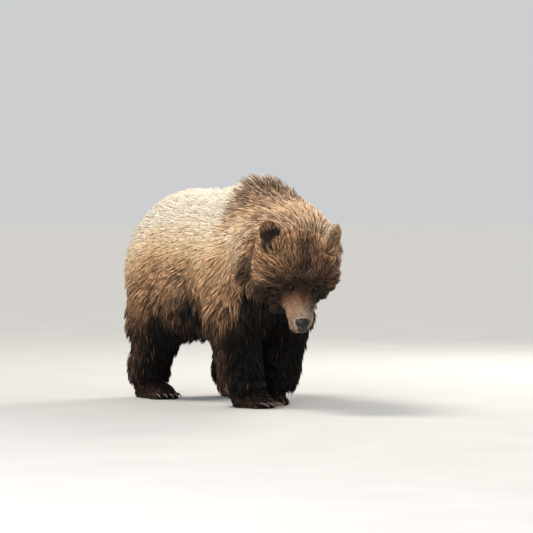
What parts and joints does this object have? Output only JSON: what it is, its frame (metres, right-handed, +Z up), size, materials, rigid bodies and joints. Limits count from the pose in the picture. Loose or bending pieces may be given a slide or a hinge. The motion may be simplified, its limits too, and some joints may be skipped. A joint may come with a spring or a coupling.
{
  "type": "grizzly bear, still life-size model",
  "caption": "Young grizzly bear standing on four feet, head lowered and turned to its right, with a shoulder hump, long coat and long claws.",
  "frame": {"origin": "on the floor, under the middle of the bear's bounding box", "axes": "-Y the way the bear faces, +X its left side, +Z up"},
  "size_m": [0.6326, 1.5798, 0.9858],
  "materials": {
    "coat_back": "long guard hair, cream on the back and brown low on the flanks",
    "coat_neck": "long upstanding guard hair",
    "coat_head": "medium dense hair, dark on the forehead and round the eyes",
    "coat_muzzle": "very short flat hair",
    "coat_ears": "short dark hair with a pale fringe",
    "coat_legs": "shaggy dark hair",
    "nose_leather": "moist pebbled skin",
    "eye": "wet gloss, dark brown iris",
    "claw_horn": "grown horn, polished by wear"
  },
  "bodies": {
    "root": {"trunk": "coat_back", "tail": "coat_back", "neck": "coat_neck", "head": "coat_head", "muzzle": "coat_muzzle", "jaw": "coat_muzzle", "nose": "nose_leather", "ear_l": "coat_ears", "ear_r": "coat_ears", "eye_l": "eye", "eye_r": "eye", "foreleg_r_upper": "coat_back", "foreleg_r_lower": "coat_legs", "paw_fore_r": "coat_legs", "claw_fore_r_1": "claw_horn", "claw_fore_r_2": "claw_horn", "claw_fore_r_3": "claw_horn", "claw_fore_r_4": "claw_horn", "claw_fore_r_5": "claw_horn", "foreleg_l_upper": "coat_back", "foreleg_l_lower": "coat_legs", "paw_fore_l": "coat_legs", "claw_fore_l_1": "claw_horn", "claw_fore_l_2": "claw_horn", "claw_fore_l_3": "claw_horn", "claw_fore_l_4": "claw_horn", "claw_fore_l_5": "claw_horn", "hindleg_r_upper": "coat_back", "hindleg_r_lower": "coat_legs", "paw_hind_r": "coat_legs", "claw_hind_r_1": "claw_horn", "claw_hind_r_2": "claw_horn", "claw_hind_r_3": "claw_horn", "claw_hind_r_4": "claw_horn", "claw_hind_r_5": "claw_horn", "hindleg_l_upper": "coat_back", "hindleg_l_lower": "coat_legs", "paw_hind_l": "coat_legs", "claw_hind_l_1": "claw_horn", "claw_hind_l_2": "claw_horn", "claw_hind_l_3": "claw_horn", "claw_hind_l_4": "claw_horn", "claw_hind_l_5": "claw_horn"}
  },
  "joints": []
}
